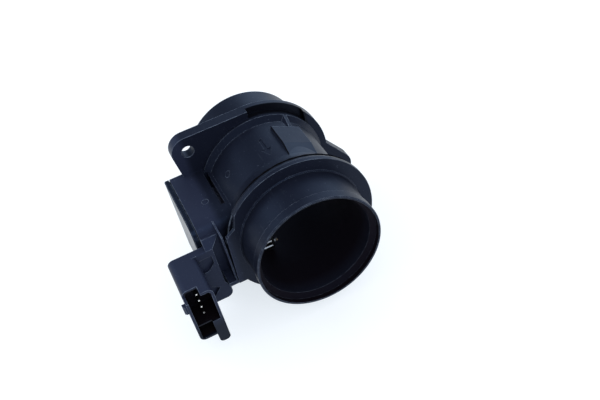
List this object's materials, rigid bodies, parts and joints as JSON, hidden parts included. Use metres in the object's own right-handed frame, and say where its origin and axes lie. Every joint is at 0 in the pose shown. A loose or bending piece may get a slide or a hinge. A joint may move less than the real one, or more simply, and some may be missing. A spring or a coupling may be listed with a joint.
{
  "type": "mass airflow sensor",
  "caption": "Black moulded measuring tube with an eared mounting flange, a lipped outlet spigot, a side electronics box with a pinned connector, and a sensing finger in the air path.",
  "frame": {"origin": "centre of the tube on the plane of the flange's mounting face, where the inlet spigot starts", "axes": "+Y along the flow axis out of the inlet spigot (air enters there and leaves at -Y), +Z out of the top of the tube, -X toward the electronics box and connector"},
  "size_m": [0.1347, 0.114, 0.0874],
  "materials": {
    "housing_plastic": "black glass-filled PBT, satin as moulded",
    "outlet_plastic": "black glass-filled PBT, satin as moulded",
    "cover_plastic": "black glass-filled PBT, slightly smoother",
    "carrier_plastic": "dark grey-black PPS",
    "seal_silicone": "black silicone bead",
    "base_metal": "plain stamped sheet",
    "board": "green glass-epoxy laminate with solder mask",
    "chip_black": "moulded epoxy",
    "chip_ceramic": "fired ceramic",
    "terminal_metal": "tin-plated brass",
    "film_element": "glazed platinum film on ceramic",
    "bead_glass": "glass-coated thermistor bead",
    "lead_wire": "plain nickel-alloy wire"
  },
  "bodies": {
    "root": {"housing": "housing_plastic", "outlet_spigot": "outlet_plastic", "cover": "cover_plastic", "cover_seal": "seal_silicone", "base_plate": "base_metal", "circuit_board": "board", "control_chip": "chip_black", "driver_transistor": "chip_black", "chip_capacitors": "chip_ceramic", "chip_resistors": "chip_black", "sensor_carrier": "carrier_plastic", "heated_element": "film_element", "reference_element": "film_element", "air_temperature_bead": "bead_glass", "sensor_leads": "lead_wire", "terminal_1": "terminal_metal", "terminal_2": "terminal_metal", "terminal_3": "terminal_metal", "terminal_4": "terminal_metal"}
  },
  "joints": []
}
